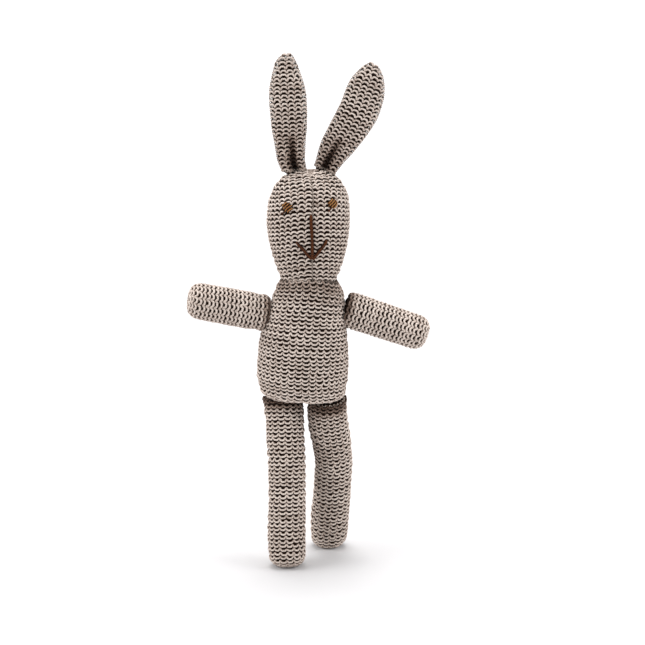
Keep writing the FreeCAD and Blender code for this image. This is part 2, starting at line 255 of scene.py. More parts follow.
def pad(grid, inset, vRange=(0.0, 1.0), columns=40, rows=34, material=0):
    # a closed wad that fills a cover
    u, v = np.meshgrid(np.linspace(0, 1, columns, endpoint=False), np.linspace(*vRange, rows))
    place, normal, along, across = skinFrame(grid, u, v)
    verts = (place - inset * normal)
    centre = verts.mean(axis=1, keepdims=True)
    for end in (0, -1):
        verts[end] = centre[end] + 0.35 * (verts[end] - centre[end])
    verts = verts.reshape(-1, 3)
    index = np.arange(rows * columns).reshape(rows, columns)
    right = np.roll(index, -1, axis=1)
    quad = np.stack([index[:-1], right[:-1], right[1:], index[1:]], -1).reshape(-1, 4)
    caps = []
    for row, flip in ((index[0], True), (index[-1], False)):
        half = columns // 2
        for k in range(half - 1):
            ids = [row[k], row[k + 1], row[columns - 2 - k], row[columns - 1 - k]]
            caps.append(ids[::-1] if flip else ids)
    quads = np.concatenate([quad, np.array(caps)])
    uu = np.concatenate([
        np.stack([np.tile(np.arange(columns), rows - 1)] * 4, 1) + [0, 1, 1, 0],
        np.zeros((len(caps), 4)),
    ]) / columns
    vv = np.concatenate([
        np.stack([np.repeat(np.arange(rows - 1), columns)] * 4, 1) + [0, 0, 1, 1],
        np.zeros((len(caps), 4)),
    ]) / rows
    bake = np.stack([uu, vv], 2)
    return [{
        "verts": verts, "quads": quads, "bake": bake, "own": 0 * bake,
        "lift": np.ones(len(verts)), "material": material,
    }]


def buildMesh(name, blocks, materials):
    offsets = np.cumsum([0] + [len(b["verts"]) for b in blocks])
    verts = np.concatenate([b["verts"] for b in blocks]) * 0.001
    quads = np.concatenate([b["quads"] + o for b, o in zip(blocks, offsets)])
    mesh = bpy.data.meshes.new(name)
    mesh.vertices.add(len(verts))
    mesh.vertices.foreach_set("co", verts.astype(np.float32).ravel())
    mesh.loops.add(quads.size)
    mesh.loops.foreach_set("vertex_index", quads.astype(np.int32).ravel())
    mesh.polygons.add(len(quads))
    mesh.polygons.foreach_set("loop_start", np.arange(0, quads.size, 4, dtype=np.int32))
    slots = np.concatenate([np.full(len(b["quads"]), b["material"], np.int32) for b in blocks])
    mesh.polygons.foreach_set("material_index", slots)
    mesh.polygons.foreach_set("use_smooth", np.ones(len(quads), bool))
    mesh.update(calc_edges=True)
    for layer, key in (("OFBake", "bake"), ("yarnUV", "own")):
        uv = mesh.uv_layers.new(name=layer)
        values = np.concatenate([b[key].reshape(-1, 2) for b in blocks])
        uv.data.foreach_set("uv", values.astype(np.float32).ravel())
    # the tone the yarn colour is read from: a random spread, lowered as painted shade in hollows,
    # undersides, peaks and roots
    lift = mesh.attributes.new("yarnToneAndShade", "FLOAT", "POINT")
    lift.data.foreach_set("value", np.concatenate([b["lift"] for b in blocks]).astype(np.float32))
    for material in materials:
        mesh.materials.append(material)
    piece = bpy.data.objects.new(name, mesh)
    bpy.context.scene.collection.objects.link(piece)
    return piece


# stuffing: the cover is blown tight round its filling

# the cover is blown up at ten times its size, where cloth and air weigh as the solver expects
stuffing = {
    "frames": 16, "cap": 0.9, "startInset": 0.4, "enlarged": 10.0,
    "stretch": 0.8, "bending": 0.05, "mass": 0.01, "quality": 6,
}


def stuffed(name, grid, held, pressure, seams=()):
    # rows outside the held range stay put: there the cover is sewn fast
    rows, columns = grid.shape[:2]
    verts = grid.reshape(-1, 3)
    u, v = np.meshgrid(np.arange(columns) / columns, np.linspace(0, 1, rows))
    normal = skinFrame(grid, u, v)[1].reshape(-1, 3)
    enlarged = 0.001 * stuffing["enlarged"]
    start = (verts - stuffing["startInset"] * normal) * enlarged
    index = np.arange(rows * columns).reshape(rows, columns)
    right = np.roll(index, -1, axis=1)
    faces = np.stack([index[:-1], right[:-1], right[1:], index[1:]], -1).reshape(-1, 4).tolist()
    faces.append(index[0][::-1].tolist())
    faces.append(index[-1].tolist())
    mesh = bpy.data.meshes.new(name + "Cloth")
    mesh.from_pydata(start.tolist(), [], faces)
    cloth = bpy.data.objects.new(name + "Cloth", mesh)
    bpy.context.scene.collection.objects.link(cloth)
    group = cloth.vertex_groups.new(name="held")
    rowOf = np.repeat(np.linspace(0, 1, rows), columns)
    fixed = (rowOf < held[0]) | (rowOf > held[1])
    for seam in seams:  # the edge seam keeps its outline
        fixed |= np.abs(np.tile(np.arange(columns) / columns, rows) - seam) < 0.03
    pinned = [int(i) for i in np.nonzero(fixed)[0]]
    group.add(pinned, 1.0, "REPLACE")
    sim = cloth.modifiers.new("stuffing", "CLOTH")
    sim.settings.use_pressure = True
    sim.settings.uniform_pressure_force = pressure
    sim.settings.vertex_group_mass = "held"
    sim.settings.effector_weights.gravity = 0
    sim.settings.quality = stuffing["quality"]
    sim.settings.mass = stuffing["mass"]
    sim.settings.tension_stiffness = stuffing["stretch"]
    sim.settings.compression_stiffness = stuffing["stretch"]
    sim.settings.shear_stiffness = 0.5 * stuffing["stretch"]
    sim.settings.bending_stiffness = stuffing["bending"]
    sim.point_cache.frame_start = 1
    sim.point_cache.frame_end = stuffing["frames"]
    for step in range(1, stuffing["frames"] + 1):
        bpy.context.scene.frame_set(step)
    done = cloth.evaluated_get(bpy.context.evaluated_depsgraph_get())
    moved = np.zeros(len(verts) * 3, np.float32)
    done.data.vertices.foreach_get("co", moved)
    moved = moved.reshape(-1, 3).astype(float) / enlarged
    bpy.data.objects.remove(cloth)
    bpy.context.scene.frame_set(1)
    change = moved - verts
    size = np.linalg.norm(change, axis=1, keepdims=True)
    change = change * np.minimum(1, stuffing["cap"] / np.maximum(size, 1e-9))
    outwards = np.sum(change * normal, axis=1)
    print(f"stuffed {name}: mean move {outwards.mean():.2f} mm, largest {size.max():.2f} mm")
    return (verts + change).reshape(rows, columns, 3)


# knitting: one yarn path for each course

def courses(grid, uRange, uMid, vRange, cusp=1.0, droop=None, phase=0.0, height=None, wale=None,
            shade=None):
    # from the low end of vRange to its high end, each waving about its own line
    height = height or knit["courseHeight"]
    wale = wale or knit["waleWidth"]
    vs = np.linspace(vRange[0], vRange[1], 200)
    rise = lengthAlong(onSurface(grid, np.full_like(vs, uMid), vs))
    fullRise = lengthAlong(onSurface(grid, np.full(200, uMid), np.linspace(0, 1, 200)))[-1]
    count = max(2, round(rise[-1] / height))
    pitch = rise[-1] / count
    paths = []
    us = np.linspace(*uRange, 160)
    for number in range(count):
        vMid = np.interp((number + 0.5) * pitch, rise, vs)
        slow, quick = knit["wander"]
        wander = slow * np.sin(2 * math.pi * (us * 3 + rng.random()))
        wander = wander + quick * np.sin(2 * math.pi * (us * 8 + rng.random()))
        vLine = np.full_like(us, vMid) + wander / fullRise
        if droop is not None:
            vLine = vLine - droop(vMid) * np.sin(2 * math.pi * us) ** 2 / fullRise
        vLine = np.clip(vLine, 0.004, 0.996)
        run = lengthAlong(onSurface(grid, us, vLine))
        middle = np.interp(uMid, us, run)
        run = run - middle
        if run[-1] - run[0] < knit["shortestCourse"]:
            continue
        points = max(12, int((run[-1] - run[0]) / wale * knit["pointsPerStitch"]))
        s = np.linspace(run[0], run[-1], points)
        stitch = np.floor(s / wale + 0.5).astype(int)
        loose = 1 + knit["stitchSpread"] * rng.standard_normal(stitch.max() - stitch.min() + 3)
        knots = np.arange(stitch.min() - 1, stitch.max() + 2)
        reach = np.interp(s / wale, knots, loose)
        shift = np.interp(s / wale, knots, knit["stitchDrift"] * rng.standard_normal(len(knots)))
        t = 2 * math.pi * (s / wale) + phase + knit["courseDrift"] * rng.standard_normal() + shift
        end = np.clip(np.minimum(s - run[0], run[-1] - s) / knit["endLength"], 0, 1)
        u = np.interp(s, run, us)
        v = np.interp(s, run, vLine)
        place, normal, along, across = skinFrame(grid, u, v)
        sideways = -knit["broadening"] * np.sin(t)
        upward = cusp * knit["wave"] * (np.cos(t) + knit["cuspSharpness"] * np.cos(2 * t)) * reach
        proud = -knit["cuspDepth"] * (0.5 + 0.5 * np.cos(t)) ** 2
        depth = knit["yarnRadius"]
        line = (
            place
            + (end * sideways)[:, None] * along
            + (end * upward)[:, None] * across
            + (proud - depth - knit["endTuck"] * (1 - end))[:, None] * normal
        )
        # painted shade at each peak, where it dives behind the course above; toneSpread is a random tone for
        # each course
        lift = knit["tone"] - knit["cuspShade"] * (0.5 + 0.5 * np.cos(t)) ** 2
        lift = lift + knit["toneSpread"] * rng.standard_normal()
        if shade is not None:
            lift = lift * shade(u, v)
        paths.append((line, normal, lift))
    return paths


def shadeRamp(start, end, least):
    # painted shade: a tone that rises from least to 1 as v goes from start to end
    def tone(u, v):
        share = np.clip((v - start) / (end - start), 0, 1)
        return least + (1 - least) * share * share * (3 - 2 * share)
    return tone


def seamThread(points, normals, period=2.3, sway=0.4, inset=1.25, tone=0.75):
    # a fine thread that laces from side to side over a join
    points = np.asarray(points, float)
    run = lengthAlong(points)
    count = max(8, int(run[-1] / period * 8))
    s = np.linspace(0, run[-1], count)
    centre = np.stack([np.interp(s, run, points[:, k]) for k in range(3)], 1)
    normal = unit(np.stack([np.interp(s, run, normals[:, k]) for k in range(3)], 1))
    tangent = unit(np.gradient(centre, axis=0))
    side = np.cross(tangent, normal)
    t = 2 * math.pi * s / period
    line = (
        centre
        + (sway * np.sin(t))[:, None] * side
        + (0.25 * np.cos(2 * t) - inset)[:, None] * normal
    )
    return [(line, normal, np.full(count, tone))]


def skinLine(grid, us, vs):
    place, normal, along, across = skinFrame(grid, np.asarray(us, float), np.asarray(vs, float))
    return place, normal


# materials

def srgb(code):
    values = [int(code[i:i + 2], 16) / 255 for i in (1, 3, 5)]
    return [v / 12.92 if v <= 0.04045 else ((v + 0.055) / 1.055) ** 2.4 for v in values] + [1.0]


def addNode(tree, kind, settings=None, links=None):
    node = tree.nodes.new(kind)
    for key, value in (settings or {}).items():
        if isinstance(key, str) and hasattr(node, key):
            setattr(node, key, value)
        else:
            node.inputs[key].default_value = value
    for key, source in (links or {}).items():
        tree.links.new(source, node.inputs[key])
    return node


def newMaterial(name):
    material = bpy.data.materials.new(name)
    material.use_nodes = True
    tree = material.node_tree
    return material, tree, tree.nodes["Principled BSDF"]


def colourRamp(tree, source, stops):
    ramp = addNode(tree, "ShaderNodeValToRGB", {}, {0: source})
    elements = ramp.color_ramp.elements
    while len(elements) < len(stops):
        elements.new(0.5)
    for element, (place, code) in zip(elements, stops):
        element.position = place
        element.color = srgb(code)
    return ramp


# spun cotton, plied and dyed in the fibre: matt, with fine slanting plies and a soft bloom
# body is the yarn's own colour; the two darker colours are painted shade for hollows and undersides, and
# crown is a painted highlight where the yarn faces out
cotton = {
    "hollow": "#140803", "shade": "#402C20", "body": "#8D7A6E", "crown": "#DFD2C8",
    "plyLength": 1.5, "fleckSize": 0.9, "roughness": 0.92, "sheen": 0.12,
}


# how much each effect shifts a yarn's tone; sizes in millimetres
yarnTone = {"fleck": 0.22, "patch": 0.16, "ply": 0.05, "patchSize": 9.0, "plyDepth": 0.22}


def yarnMaterial(name, colours):
    material, tree, shader = newMaterial(name)
    lift = addNode(tree, "ShaderNodeAttribute", {"attribute_name": "yarnToneAndShade"})
    uv = addNode(tree, "ShaderNodeUVMap", {"uv_map": "yarnUV"})
    parts = addNode(tree, "ShaderNodeSeparateXYZ", {}, {0: uv.outputs[0]})
    length = addNode(tree, "ShaderNodeMath", {"operation": "DIVIDE", 1: colours["plyLength"]},
                     {0: parts.outputs[0]})
    turn = addNode(tree, "ShaderNodeMath", {"operation": "MULTIPLY", 1: 2.0}, {0: parts.outputs[1]})
    twist = addNode(tree, "ShaderNodeMath", {"operation": "ADD"},
                    {0: length.outputs[0], 1: turn.outputs[0]})
    phase = addNode(tree, "ShaderNodeMath", {"operation": "MULTIPLY", 1: 2 * math.pi},
                    {0: twist.outputs[0]})
    ply = addNode(tree, "ShaderNodeMath", {"operation": "SINE"}, {0: phase.outputs[0]})
    coords = addNode(tree, "ShaderNodeTexCoord")
    fleck = addNode(tree, "ShaderNodeTexNoise", {"Scale": 1000 / colours["fleckSize"] / 2, "Detail": 2.0},
                    {"Vector": coords.outputs["Object"]})
    patch = addNode(tree, "ShaderNodeTexNoise", {"Scale": 1000 / yarnTone["patchSize"], "Detail": 1.0},
                    {"Vector": coords.outputs["Object"]})
    tone = addNode(tree, "ShaderNodeMath",
                   {"operation": "MULTIPLY_ADD", 1: yarnTone["fleck"], 2: -0.5 * yarnTone["fleck"]},
                   {0: fleck.outputs[0]})
    wide = addNode(tree, "ShaderNodeMath",
                   {"operation": "MULTIPLY_ADD", 1: yarnTone["patch"], 2: -0.5 * yarnTone["patch"]},
                   {0: patch.outputs[0]})
    plyTone = addNode(tree, "ShaderNodeMath", {"operation": "MULTIPLY_ADD", 1: yarnTone["ply"]},
                      {0: ply.outputs[0], 2: tone.outputs[0]})
    both = addNode(tree, "ShaderNodeMath", {"operation": "ADD"},
                   {0: plyTone.outputs[0], 1: wide.outputs[0]})
    height = addNode(tree, "ShaderNodeMath", {"operation": "ADD", "use_clamp": True},
                     {0: lift.outputs["Fac"], 1: both.outputs[0]})
    # the tone runs from painted shade (the two darkest colours) through the yarn's own colour (body) to a
    # painted highlight (the palest colour)
    ramp = colourRamp(tree, height.outputs[0], [
        (0.16, colours["hollow"]),
        (0.42, colours["shade"]),
        (0.70, colours["body"]),
        (1.0, colours["crown"]),
    ])
    bump = addNode(tree, "ShaderNodeBump", {"Strength": 0.5, "Distance": 0.001 * yarnTone["plyDepth"]},
                   {"Height": ply.outputs[0]})
    tree.links.new(ramp.outputs[0], shader.inputs["Base Color"])
    tree.links.new(bump.outputs[0], shader.inputs["Normal"])
    shader.inputs["Roughness"].default_value = colours["roughness"]
    shader.inputs["IOR"].default_value = 1.47
    shader.inputs["Specular IOR Level"].default_value = 0.25
    shader.inputs["Sheen Weight"].default_value = colours["sheen"]
    shader.inputs["Sheen Roughness"].default_value = 0.5
    return material


knitCotton = yarnMaterial("knittedCottonYarn", cotton)
# fine sewing cotton: the same cloth colour, duller and a little darker
# its two darkest colours are painted shade, used where a thread's tone is set low, and its palest a faint
# painted highlight
seamCotton = yarnMaterial("cottonSeamThread", {
    "hollow": "#2A1B12", "shade": "#7A6B60", "body": "#A4968B", "crown": "#B8ABA0",
    "plyLength": 0.9, "fleckSize": 0.9, "roughness": 0.9, "sheen": 0.12,
})
# brown embroidery cotton: stranded thread, worn matt; its golden crown colour is a painted highlight where
# the strands face out
# its darkest colours give the dark nose and mouth thread, and painted shade under and between the strands
embroideryCotton = yarnMaterial("brownEmbroideryCotton", {
    "hollow": "#100401", "shade": "#321505", "body": "#743F14", "crown": "#C4965A",
    "plyLength": 1.1, "fleckSize": 0.5, "roughness": 0.8, "sheen": 0.0,
})


def gapShadeMaterial():
    # a dark sheet of painted shade below the yarn, seen only as dark between the stitches
    material, tree, shader = newMaterial("knitGapShade")
    coords = addNode(tree, "ShaderNodeTexCoord")
    noise = addNode(tree, "ShaderNodeTexNoise", {"Scale": 900.0, "Detail": 2.0},
                    {"Vector": coords.outputs["Object"]})
    ramp = colourRamp(tree, noise.outputs[0], [(0.3, "#140A05"), (0.7, "#2C1C12")])
    tree.links.new(ramp.outputs[0], shader.inputs["Base Color"])
    shader.inputs["Roughness"].default_value = 0.95
    shader.inputs["Specular IOR Level"].default_value = 0.1
    return material


def fillingMaterial():
    # carded polyester fibre: white, soft and faintly streaked
    material, tree, shader = newMaterial("polyesterFibreFilling")
    coords = addNode(tree, "ShaderNodeTexCoord")
    noise = addNode(tree, "ShaderNodeTexNoise", {"Scale": 420.0, "Detail": 4.0, "Distortion": 1.2},
                    {"Vector": coords.outputs["Object"]})
    ramp = colourRamp(tree, noise.outputs[0], [(0.3, "#D9D4CC"), (0.7, "#F3F0EB")])
    bump = addNode(tree, "ShaderNodeBump", {"Strength": 0.6, "Distance": 0.0006},
                   {"Height": noise.outputs[0]})
    tree.links.new(ramp.outputs[0], shader.inputs["Base Color"])
    tree.links.new(bump.outputs[0], shader.inputs["Normal"])
    shader.inputs["Roughness"].default_value = 0.95
    shader.inputs["Sheen Weight"].default_value = 0.3
    return material


gapShadeSheet = gapShadeMaterial()
fibre = fillingMaterial()
coverLook = [knitCotton, gapShadeSheet]


def finishPiece(piece, nodes, body=None, blend=None):
    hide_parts(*nodes)
    if blend:
        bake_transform(piece)
    else:
        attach(piece, body)


def coverBlocks(grid, paths, uRange, vRange, radius=knit["yarnRadius"]):
    return (tubes(paths, radius, knit["sides"], underside=knit["undersideShade"])
            + shell(grid, uRange, vRange, knit["shadeSheetInset"], knit["shadeSheetThickness"]))


# torso: a pear-shaped bag of two panels, hemmed in a roll above the legs
torso = {
    "profile": [
        (0.5, 0.3), (9, 0.1), (17, -0.6), (22, -1.2), (24.3, -0.6), (25.3, 1.2), (25.8, 3.8),
        (26.5, 7.5), (27.0, 12), (27.0, 20), (26.6, 29), (25.4, 38), (23.1, 50), (20.4, 61.0),
        (18.8, 64.9), (17.4, 67.6),
    ],
    "bow": [
        (0, 0.3), (3, 0.3), (11, -0.6), (20, -0.5), (29, -0.7), (38, -0.5), (50, 0.4), (62, 1.2), (69, 0.6),
    ],
    "depthRatio": 0.9,
    "neckHeight": 76.3,
    "roundsFrom": 50, "roundsOver": 18,  # heights over which the bag rounds out to the neck
    "neckLift": 4.0, "liftFrom": 6, "liftOver": 62,
    "baseSeamHalf": 16, "baseSeamDrop": 0.6,
    "hemAt": 0.19,  # the share of the bag's outline where the knitting shows
    "fill": 0.8,
    "pressure": 3.6,
}
neckPlace = 1000 * np.array(joints["neck_turn"]["pos_m"])
torsoAxis = np.array(joints["neck_turn"]["axis"])
torsoOrigin = neckPlace - torso["neckHeight"] * torsoAxis
xAxis, yAxis, zAxis = np.eye(3)
backwards = yAxis


def torsoDepth(height):
    # flatter than it is wide, and round at the neck
    share = np.clip((height - torso["roundsFrom"]) / torso["roundsOver"], 0, 1)
    return torso["depthRatio"] + (1 - torso["depthRatio"]) * share ** 1.5 * 1.4


def torsoLift(height):
    # the bag rides up in front and behind towards the neck
    return torso["neckLift"] * np.clip((height - torso["liftFrom"]) / torso["liftOver"], 0, 1) ** 1.3


torsoGrid = roundedGrid(torsoOrigin, torsoAxis, backwards, torso["profile"], torsoDepth,
                        bowed(torso["bow"], xAxis), torsoLift)
torsoGrid = stuffed("torso", torsoGrid, (0.1, 0.96), torso["pressure"])
for panel, uRange, uMid in (("torso_front", (0.25, 0.75), 0.5), ("torso_back", (0.75, 1.25), 1.0)):
    # painted shade on the top rows, under the chin
    paths = courses(torsoGrid, uRange, uMid, (torso["hemAt"], 1.0), 1.0, shade=shadeRamp(1.0, 0.80, 0.84))
    blocks = coverBlocks(torsoGrid, paths, uRange, (0.0, 0.985))
    piece = buildMesh(panel + "_knit", blocks, coverLook)
    finishPiece(piece, [panel], "torso", None)
piece = buildMesh("torso_filling_wad", pad(torsoGrid, knit["fillingInset"], (0.0, 0.9)), [fibre])
finishPiece(piece, ["torso_filling"], "torso", None)
for side, u in (("left", 0.75), ("right", 0.25)):
    vs = np.linspace(0.16, 0.985, 60)
    line, normal = skinLine(torsoGrid, np.full(60, u), vs)
    sideSeam = tubes(seamThread(line, normal), thread["seam"], 6)
    piece = buildMesh(f"torso_{side}_seam_thread", sideSeam, [seamCotton])
    finishPiece(piece, [f"torso_{side}_seam"], "torso")
baseLine = np.array([torsoOrigin + [x, 0, 0.0] for x in torso["baseSeamHalf"] * np.linspace(-1, 1, 40)])
baseLine[:, 2] -= torso["baseSeamDrop"]
baseSeam = seamThread(baseLine, np.tile([0, 0, -1.0], (40, 1)), inset=0)
piece = buildMesh("torso_base_seam_thread", tubes(baseSeam, thread["seam"], 6), [seamCotton])
finishPiece(piece, ["torso_base_seam"], "torso")
print("torso knitted")


# head: two panels that meet in a seam down the face and over the crown
head = {
    "profile": [
        (0.5, -15.2), (7, -14.4), (11.4, -12.6), (14.4, -9.9), (16.4, -6.4), (17.8, -3.2), (19.0, 0.4),
        (20.1, 4), (21.6, 9.4), (22.6, 15.2), (23.3, 21.0), (23.6, 26.7), (23.5, 32.3), (22.8, 38),
        (21.3, 43.6), (19.6, 46.9), (17.6, 49.9), (14.6, 52.4), (10.2, 54.4), (5.2, 55.4), (0.5, 55.6),
    ],
    "bow": [(-16, 0.1), (0, 0.2), (15, 0.4), (27, 0.6), (36, 1.2), (44, 1.7), (50, 1.8), (57, 1.5)],
    "turn": 6.5,
    "tilt": 2.0,
    "droop": 4.2,
    "fill": 0.85,
    "pressure": 7.0,
    "seamGap": 0.003,
    "courseHeight": 2.5,
}
turn, tilt = math.radians(head["turn"]), math.radians(head["tilt"])
headAxis = np.array([-math.sin(tilt), 0, math.cos(tilt)])
headBack = np.array([-math.sin(turn) * math.cos(tilt), math.cos(turn), -math.sin(turn) * math.sin(tilt)])
headSide = np.cross(headBack, headAxis)
headGrid = roundedGrid(neckPlace, headAxis, headBack, head["profile"], None, bowed(head["bow"], xAxis))
headGrid = stuffed("head", headGrid, (0.16, 0.985), head["pressure"])


def headDroop(v):
    # the rows hang lower at the sides than along the centre seam
    return head["droop"] * np.clip((0.97 - v) / 0.2, 0, 1) * np.clip((v - 0.03) / 0.14, 0, 1)


for panel, uRange, uMid, phase in (
    ("head_right_panel", (0.0, 0.5), 0.5, 0.0),
    ("head_left_panel", (0.5, 1.0), 0.5, math.pi),
):
    gap = head["seamGap"]
    knitRange = (uRange[0] + gap, uRange[1] - gap)
    paths = courses(headGrid, knitRange, uMid, (0.05, 0.995), -1.0, headDroop, phase, head["courseHeight"])
    blocks = coverBlocks(headGrid, paths, uRange, (0.0, 1.0))
    piece = buildMesh(panel + "_knit", blocks, coverLook)
    finishPiece(piece, [panel], "head", None)
piece = buildMesh("head_filling_wad", pad(headGrid, knit["fillingInset"]), [fibre])
finishPiece(piece, ["head_filling"], "head", None)
front, frontNormal = skinLine(headGrid, np.full(60, 0.5), np.linspace(0.17, 1.0, 60))
behind, behindNormal = skinLine(headGrid, np.full(60, 0.0), np.linspace(1.0, 0.17, 60))
crownSeam = seamThread(np.concatenate([front, behind[1:]]), np.concatenate([frontNormal, behindNormal[1:]]))
piece = buildMesh("head_centre_seam_thread", tubes(crownSeam, thread["seam"], 6), [seamCotton])
finishPiece(piece, ["head_centre_seam"], "head")
print("head knitted")


def faceSpot(x, height):
    # the u and v of a place on the face, from its sideways place and its height above the neck
    u, v = np.meshgrid(np.linspace(0.3, 0.7, 240), np.linspace(0.15, 0.98, 400))
    place = onSurface(headGrid, u, v) - neckPlace
    miss = (place @ headSide - x) ** 2 + (place @ headAxis - height) ** 2
    best = np.unravel_index(np.argmin(miss), miss.shape)
    return u[best], v[best]


def embroidered(low, high, bow=0.3, plies=3, radius=0.56, spread=0.52, twist=4.0, count=30, sink=1.4,
                tone=0.40):
    # a plied stitch laid on the skin between two places, its ends diving through the knitting
    (u0, v0), (u1, v1) = faceSpot(*low), faceSpot(*high)
    share = np.linspace(0, 1, count)
    place, normal, along, across = skinFrame(headGrid, u0 + (u1 - u0) * share, v0 + (v1 - v0) * share)
    nearEnd = 1 - np.clip(np.minimum(share, 1 - share) / 0.09, 0, 1)
    out = bow * np.sin(math.pi * share) ** 0.5 - sink * nearEnd ** 2
    centre = place + out[:, None] * normal
    run = lengthAlong(centre)
    tangent = unit(np.gradient(centre, axis=0))
    side = np.cross(tangent, normal)
    paths = []
    for ply in range(plies):
        angle = 2 * math.pi * (run / twist + ply / plies)
        line = centre + spread * (np.cos(angle)[:, None] * side + 0.45 * np.sin(angle)[:, None] * normal)
        # painted highlight and painted shade: each ply's tone rises where it twists to the top and falls
        # beneath, and the tube's underside darkens
        paths.append((line, normal, tone + 0.16 * np.sin(angle)))
    return tubes(paths, radius, 6, underside=0.4)


# face: satin-stitched eyes, and a nose and mouth of single long stitches
face = {
    "eyeSpread": 25.3, "eyeHeights": {"left": 38.4, "right": 37.3}, "eyeRadius": 2.75,
    "eyeLayers": ((5, -50.0, 0.35, 0.12), (4, 42.0, 0.85, 0.80)),
    "noseTop": 33.6, "noseJoint": 19.3, "mouthLow": 7.2, "mouthCorner": 18.0, "mouthHalfWidth": 8.6,
}
for side, sign in (("left", 1), ("right", -1)):
    x0, h0 = sign * face["eyeSpread"] / 2, face["eyeHeights"][side]
    blocks = []
    # strands laid first, toned near black as painted shade where they lie under the paler ones laid across
    # them
    for strands, slant, bow, tone in face["eyeLayers"]:
        slant = math.radians(slant)
        for k in range(strands):
            off = 2 * (k + 0.5) / strands - 1
            reach = face["eyeRadius"] * math.sqrt(1 - off * off)
            cx, ch = -face["eyeRadius"] * off * math.sin(slant), face["eyeRadius"] * off * math.cos(slant)
            dx, dh = reach * math.cos(slant), reach * math.sin(slant)
            blocks += embroidered((x0 + cx - dx, h0 + ch - dh), (x0 + cx + dx, h0 + ch + dh),
                                  bow=bow, plies=2, radius=0.32, spread=0.18, twist=3.0, count=16,
                                  sink=1.0, tone=tone)
    # the loose end of the thread, down and to the left in front view
    blocks += embroidered((x0 - 1.2, h0 - 2.2), (x0 - 3.0, h0 - 4.2), bow=0.5, plies=2, radius=0.34,
                          spread=0.2, twist=3.0, count=12)
    piece = buildMesh(f"{side}_eye_embroidery", blocks, [embroideryCotton])
    finishPiece(piece, [f"{side}_eye"], "head")
for name, low, high in (
    ("nose_stitch_upper", (0, face["noseJoint"] - 0.3), (0, face["noseTop"])),
    ("nose_stitch_lower", (0, face["mouthLow"] + 0.4), (0, face["noseJoint"] + 0.3)),
    ("mouth_stitch_left", (0.3, face["mouthLow"]), (face["mouthHalfWidth"], face["mouthCorner"])),
    ("mouth_stitch_right", (-0.3, face["mouthLow"]), (-face["mouthHalfWidth"], face["mouthCorner"])),
):
    piece = buildMesh(name + "_embroidery", embroidered(low, high), [embroideryCotton])
    finishPiece(piece, [name], "head")
print("face embroidered")

# neck: the thread that gathers the torso's top edge round the head's ball
us = np.linspace(0, 1, 121)  # once round a ring of stitches
rim, rimNormal = skinLine(torsoGrid, us, np.full(121, 0.995))
inward = unit(neckPlace - rim)
gathered = rim + 0.5 * torsoAxis + 0.9 * inward
# tone 0.3 darkens this thread: painted shade in the recess under the head
gathering = seamThread(gathered, rimNormal, period=2.6, sway=0.5, inset=0.4, tone=0.3)
piece = buildMesh("neck_seam_thread", tubes(gathering, thread["ring"], 6), [seamCotton])
finishPiece(piece, ["neck_seam"], "neck")
print("neck sewn")


# limbs: knitted tubes, each with a rounded end and a seam along its back
limbs = {
    "left_arm": {
        "profile": [(6.5, -3.0), (9.4, -1.0), (10.7, 1.5), (10.7, 6), (10.6, 14), (10.4, 26), (10.3, 42)],
        "end": 50.6, "endDepth": 8.4, "blunt": 2.4, "bow": [(0, 3.0), (50, 3.1)], "bowTo": (0, 0, 1),
        "height": 2.42, "cusp": 1.0, "fill": 0.75, "rootShade": (0.04, 0.15, 0.48), "pressure": 22.0,
        "yarnRadius": 0.70,
    },
    "right_arm": {
        "profile": [(6.5, -3.0), (9.4, -1.0), (11.1, 1.8), (11.0, 3.4), (10.1, 5.4), (10.9, 8.4), (10.9, 16),
                    (10.8, 28), (10.7, 36)],
        "end": 46.2, "endDepth": 8.4, "blunt": 2.4,
        "bow": [(0, -2.2), (10, -1.7), (25, -0.8), (40, 0), (47, 0.2)], "bowTo": (0, 0, 1),
        "height": 2.42, "cusp": 1.0, "fill": 0.75, "rootShade": (0.04, 0.15, 0.48), "pressure": 22.0,
        "yarnRadius": 0.70,
    },
    "left_leg": {
        "profile": [(6.5, -9.6), (10.8, -9.2), (12.0, -7.0), (11.6, -2.5), (11.4, 4), (11.7, 11), (11.4, 20),
                    (11.0, 34), (11.1, 47), (11.3, 60), (11.4, 72), (11.1, 81)],
        "end": 91.5, "endDepth": 8.6, "blunt": 2.6,
        "bow": [(-10, -0.8), (2.4, -1.1), (11.8, -0.1), (21, 1.5), (34, 2.8), (46.7, 2.0), (59.5, 0.9),
                (72, -0.5), (82, -1.1), (92, -1.8)],
        "bowTo": (1, 0, 0), "height": 2.44, "cusp": -1.0, "fill": 0.8,
        "rootShade": (0.06, 0.14, 0.52), "pressure": 11.0, "yarnRadius": 0.60,
    },
    "right_leg": {
        "profile": [(6.5, -9.6), (11.2, -9.2), (12.6, -7.0), (12.2, -3.5), (11.5, 2), (11.1, 8), (11.1, 16),
                    (11.1, 28), (10.9, 47), (10.9, 72), (10.8, 81)],
        "end": 92.0, "endDepth": 8.6, "blunt": 2.5,
        "bow": [(-10, -1.4), (-6, -1.3), (-2.5, -0.9), (6.8, -0.2), (16, -0.3), (28.5, 0.5), (47, 0.4),
                (72, -0.6), (92, -0.2)],
        "bowTo": (1, 0, 0), "height": 2.44, "cusp": -1.0, "fill": 0.8,
        "rootShade": (0.06, 0.14, 0.32), "pressure": 11.0, "yarnRadius": 0.60,
    },
}


def turnedAbout(vector, axis, degrees):
    axis, angle = unit(axis), math.radians(degrees)
    return (vector * math.cos(angle) + np.cross(axis, vector) * math.sin(angle)
            + axis * np.dot(axis, vector) * (1 - math.cos(angle)))


